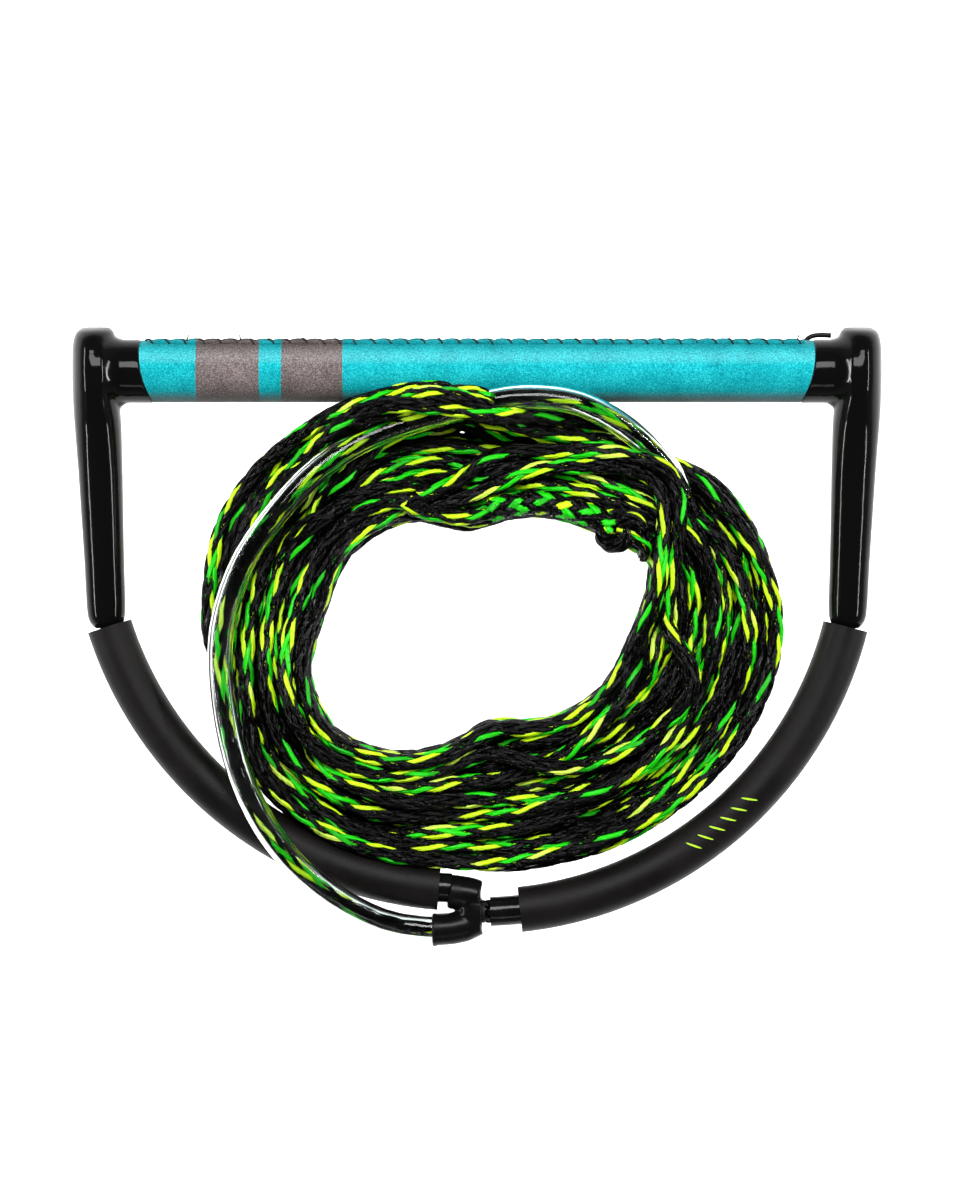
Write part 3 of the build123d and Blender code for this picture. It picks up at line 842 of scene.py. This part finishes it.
# The rolled lip behind the right collar.
LIP_ROUTE = [(153.4, 138.6, 15), (156, 141.4, 14), (160.5, 142.9, 13.5), (167, 142.4, 14)]
lip_line = even(nurbs_line("lip_route", np.array(LIP_ROUTE) * MM, 10), 0.0006)
lip_radius = np.interp(lip_line[1], [0, 0.003, 0.02], [0.0003, 0.0011, 0.0013])
lip = tube("collar_lip", lip_line, lip_radius, 12, [gloss])
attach(lip, "handle")


# ---------------------------------------------------------------- smooth skins
def tube_rings(points, radii, around=32, steps=24):
    """Rings round a line, for a tube with flat ends. Points and radii are in mm."""
    points = np.array(points, float) * MM
    at = np.linspace(0, 1, len(points))
    fine = np.linspace(0, 1, steps)
    line = np.stack([np.interp(fine, at, points[:, i]) for i in range(3)], 1)
    size = np.interp(fine, np.linspace(0, 1, len(radii)), np.array(radii) * MM)
    return line[:, None] + size[:, None, None] * spokes(line, around)[0]


def melted(name, parts, voxel, rounds, material):
    """One smooth skin over overlapping closed tubes given as rings of points."""
    verts, faces, base = [], [], 0
    for rings in parts:
        n, around = rings.shape[:2]
        part_faces = ring_faces(n, around).tolist()
        part_faces += [list(range(around))[::-1], list(range((n - 1) * around, n * around))]
        faces += [[base + i for i in f] for f in part_faces]
        verts.append(rings.reshape(-1, 3))
        base += n * around
    mesh = bpy.data.meshes.new(name)
    mesh.from_pydata(np.concatenate(verts).tolist(), [], faces)
    obj = bpy.data.objects.new(name, mesh)
    bpy.context.scene.collection.objects.link(obj)
    remesh = obj.modifiers.new("remesh", "REMESH")
    remesh.mode = "VOXEL"
    remesh.voxel_size = voxel
    remesh.use_smooth_shade = True
    ease = obj.modifiers.new("ease", "SMOOTH")
    ease.iterations = rounds
    ease.factor = 0.5
    done = bpy.data.meshes.new_from_object(obj.evaluated_get(bpy.context.evaluated_depsgraph_get()))
    obj.modifiers.clear()
    obj.data = done
    done.name = name
    done.materials.clear()
    done.materials.append(material)
    return obj


# ---------------------------------------------------------------- end caps
# Along the cap from its head to the arm's end: y, half width along X, half height, x, z.
CAP_STATIONS = np.array(
    [
        (145.9, 6.4, 4.0, 179.2, 20.4), (145.3, 8.2, 8.5, 179.3, 20.4),
        (143.5, 9.2, 12.8, 179.6, 20.4), (140.5, 9.9, 16.2, 179.9, 20.4),
        (136, 10.3, 18.3, 180.1, 20.4), (130, 10.4, 19.8, 180.1, 20.4),
        (124, 10.5, 20.2, 180.0, 20.3), (116, 10.9, 19.0, 179.5, 19.9),
        (108, 11.2, 16.6, 178.9, 19.2), (100, 11.2, 14.0, 178.4, 18.4),
        (90, 10.9, 12.1, 177.9, 17.5), (76, 10.5, 11.0, 177.3, 16.2),
        (56, 10.0, 10.3, 176.6, 14.5), (34, 9.5, 9.7, 175.8, 12.6),
        (16, 9.3, 9.35, 175.2, 11.1), (9.5, 8.9, 8.9, 175.0, 10.7),
        (6.2, 7.7, 7.7, 174.9, 10.6), (4.2, 5.3, 5.3, 174.9, 10.6),
    ]
)
COLLAR_R = 0.0150
COLLAR_START = 0.180
FLARE = 0.0052
FLARE_START = 0.1655
# The circle that the collar's end is cut to.
CUT_R = 0.051
CUT_X = 0.1073
CUT_Y = BAR_Y + 0.0096
# The fillet between arm and collar, in mm.
KNEE_X, KNEE_Y, KNEE_Z, KNEE_R = 162.4, 105.8, 20, 12.8


def cap_rings(side):
    """The head and the arm, in one run."""
    a = np.linspace(0, 2 * math.pi, 40, endpoint=False)
    at = CAP_STATIONS[:, 0]
    y = np.linspace(at[0], at[-1], 140)
    wide, tall, x, z = (np.interp(-y, -at, CAP_STATIONS[:, i]) for i in range(1, 5))
    soft = np.hanning(7) / np.hanning(7).sum()
    padded = (np.pad(v, 3, "reflect", reflect_type="odd") for v in (wide, tall, x, z))
    wide, tall, x, z = (np.convolve(v, soft, "valid") for v in padded)
    ring = np.stack(
        [
            side * x[:, None] + wide[:, None] * np.cos(a)[None],
            y[:, None] + 0 * a[None],
            z[:, None] + tall[:, None] * np.sin(a)[None],
        ],
        2,
    )
    return ring * MM


def collar_rings(side):
    """The collar, with its curved end."""
    a = np.linspace(0, 2 * math.pi, 64, endpoint=False)
    y = BAR_Y + COLLAR_R * np.cos(a)
    z = BAR_Z + COLLAR_R * np.sin(a)
    end = CUT_X + np.sqrt(CUT_R**2 - (y - CUT_Y) ** 2)
    share = np.linspace(0, 1, 30)[:, None]
    x = COLLAR_START + (end[None] - COLLAR_START) * share
    flare = FLARE * np.clip((x - FLARE_START) / 0.010, 0, 1) ** 1.6
    radius = 1 + flare / COLLAR_R
    return np.stack(
        [
            side * x,
            BAR_Y + (y - BAR_Y)[None] * radius,
            BAR_Z + (z - BAR_Z)[None] * radius,
        ],
        2,
    )


for side, name in ((-1, "left"), (1, "right")):
    turn = np.radians(np.linspace(175, 88, 12))
    knee_x, knee_y = KNEE_X - KNEE_R * np.cos(turn), KNEE_Y + KNEE_R * np.sin(turn)
    bend = np.stack([knee_x, knee_y, KNEE_Z + 0 * turn], 1)
    knee = tube_rings(bend * [side, 1, 1], [6, 7.6, 8, 8])
    parts = [cap_rings(side), collar_rings(side), knee]
    cap = melted(f"cap_skin_{name}", parts, 0.0006, 12, gloss)
    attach(cap, "handle")
    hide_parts(f"end_cap_{name}")

# ---------------------------------------------------------------- yoke
LEG_Z = 10.75
# The boot's tubes, each as x, y and radius along it in mm: the left leg's branch, the boat
# rope's branch with its rolled mouth, and three that fill the crotch.
BOOT_TUBES = [
    [(-13.4, -119.9, 7.7), (-12.6, -120, 8.2), (-4, -121.2, 8.1), (1.2, -122.4, 7.7)],
    [(-21, -138.1, 7.6), (-12, -137.5, 7.6), (-6, -136.1, 7.7), (0.6, -133.6, 7.0)],
    [(-21.2, -138.1, 8.1), (-19.4, -138.1, 8.0)],
    [
        (-9.8, -129.59, 1.2), (-8.4, -129.52, 4.4), (-6.4, -129.42, 6.8),
        (-3, -129.25, 8.0), (2.2, -128.99, 8.0),
    ],
    [(-9.4, -127.2, 2.6), (-7, -127.2, 5.8), (-3, -127.2, 8.0), (1.9, -127.2, 7.8)],
    [(-9.4, -131.1, 2.6), (-7, -131.1, 5.8), (-3, -131.1, 7.8), (1.7, -131.1, 7.5)],
]
parts = [tube_rings([(x, y, LEG_Z) for x, y, _ in row], [r for *_, r in row]) for row in BOOT_TUBES]
boot = melted("boot_skin", parts, 0.0005, 26, boot_vinyl)
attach(boot, "bridle")
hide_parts("yoke_boot")
GAP_ROUTE = [(-2, -129.0, LEG_Z), (2.5, -129.3, LEG_Z), (8, -129.4, LEG_Z)]
gap_line = even(np.array(GAP_ROUTE) * MM, 0.001)
gap = braid("bridle_braid", gap_line, 0.0056, 0.06, KNOT_KINDS, yarns, wild=0)
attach(gap, "bridle")

# ---------------------------------------------------------------- float marks
# Plain slanted dashes printed on the right float. Angles are in degrees.
RIGHT_C = np.array([1.336, 48.489]) * MM
MARKS = 6
MARK_FROM = -55.5
MARK_STEP = 2.2
MARK_SLANT = 0.75
MARK_TOP = 92
MARK_REACH = 17
MARK_HALF_WIDTH = 0.00042
MARK_LIFT = 0.00008
MARK_CROWN = 0.00006


def round_right_leg(polar, reach, z):
    """Points at an angle round the right leg's arc, at a reach from its centre."""
    x = RIGHT_C[0] + reach * np.cos(polar)
    return np.stack([x, RIGHT_C[1] + reach * np.sin(polar), z + 0 * x], 1)


verts, faces = [], []
for k in range(MARKS):
    s = np.linspace(-1, 1, 14)
    polar = np.radians(MARK_FROM + MARK_STEP * k + MARK_SLANT * s)
    tilt = np.radians(MARK_TOP - MARK_REACH * s)
    r = FLOAT_R + MARK_LIFT
    reach = FLOAT_ARC_R + r * np.cos(tilt)
    line = round_right_leg(polar, reach, FLOAT_R + r * np.sin(tilt))
    out = line - round_right_leg(polar, FLOAT_ARC_R, FLOAT_R)
    out /= np.linalg.norm(out, axis=1)[:, None]
    across = np.cross(frames(line)[0], out)
    wide = (MARK_HALF_WIDTH * np.sqrt(1.02 - s**2))[:, None]
    base = sum(len(v) for v in verts)
    faces.append(ring_faces(len(s), 3, closed=False) + base)
    stroke = [line - across * wide, line + out * MARK_CROWN, line + across * wide]
    verts.append(np.stack(stroke, 1).reshape(-1, 3))
ink = glossy("ink_lime", (0.42, 0.80, 0.02), 0.35, 300, 0.3)
marks = mesh_object("float_marks", np.concatenate(verts), np.concatenate(faces), [ink])
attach(marks, "right_float")

# ---------------------------------------------------------------- studio
scene = bpy.context.scene
# The floor lies below the lowest pose, where the folded bridle and the coil hang down.
FLOOR_Z = -0.26
FLOOR_HALF = 14
CORNERS = ((-1, -1), (1, -1), (1, 1), (-1, 1))
floor = mesh_object(
    "floor",
    [(x * FLOOR_HALF, y * FLOOR_HALF, FLOOR_Z) for x, y in CORNERS],
    [(0, 1, 2, 3)],
    [
        new_material(
            "floor_white",
            Base_Color=(0.9, 0.9, 0.9, 1),
            Roughness=0.8,
            Emission_Color=(1, 1, 1, 1),
            Emission_Strength=0.75,
        )[0]
    ],
)
world = bpy.data.worlds.new("studio")
world.use_nodes = True
scene.world = world
nt = world.node_tree
sky = add(nt, "ShaderNodeTexCoord").outputs["Generated"]
rise = add(nt, "ShaderNodeSeparateXYZ", {0: sky}).outputs["Z"]
GLOW = [(0.0, 0.35), (0.2, 0.22), (0.42, 0.04), (1.0, 0.015)]
glow = grey_ramp(nt, rise, GLOW)
nt.links.new(glow, nt.nodes["Background"].inputs[0])
nt.nodes["Background"].inputs[1].default_value = 1.0


def area(name, place, size, power):
    """A lamp aimed at the middle of the handle."""
    data = bpy.data.lights.new(name, "AREA")
    data.shape = "RECTANGLE"
    data.size, data.size_y = size
    data.energy = power
    obj = bpy.data.objects.new(name, data)
    obj.location = place
    obj.rotation_euler = (-Vector(place)).to_track_quat("-Z", "Y").to_euler()
    scene.collection.objects.link(obj)


area("key", (0.0, 0.85, 1.85), (1.6, 0.7), 50)
area("left", (-1.5, 0.1, 0.62), (1.5, 0.07), 20)
area("right", (1.5, 0.1, 0.85), (1.5, 0.07), 20)
area("front", (0.0, -1.6, 1.2), (1.3, 0.25), 3)

SCALE_PLANE = 0.020
VIEW_HEIGHT = 0.5645
LENS = 150
SENSOR = 36
VIEW_MIDDLE = (0.00141, 0.01764)
cam_data = bpy.data.cameras.new("camera")
cam_data.lens = LENS
cam_data.sensor_width = SENSOR
cam_data.clip_end = 20
camera = bpy.data.objects.new("camera", cam_data)
camera.location = (*VIEW_MIDDLE, SCALE_PLANE + LENS / SENSOR * VIEW_HEIGHT)
scene.collection.objects.link(camera)
scene.camera = camera
scene.view_settings.view_transform = "Standard"
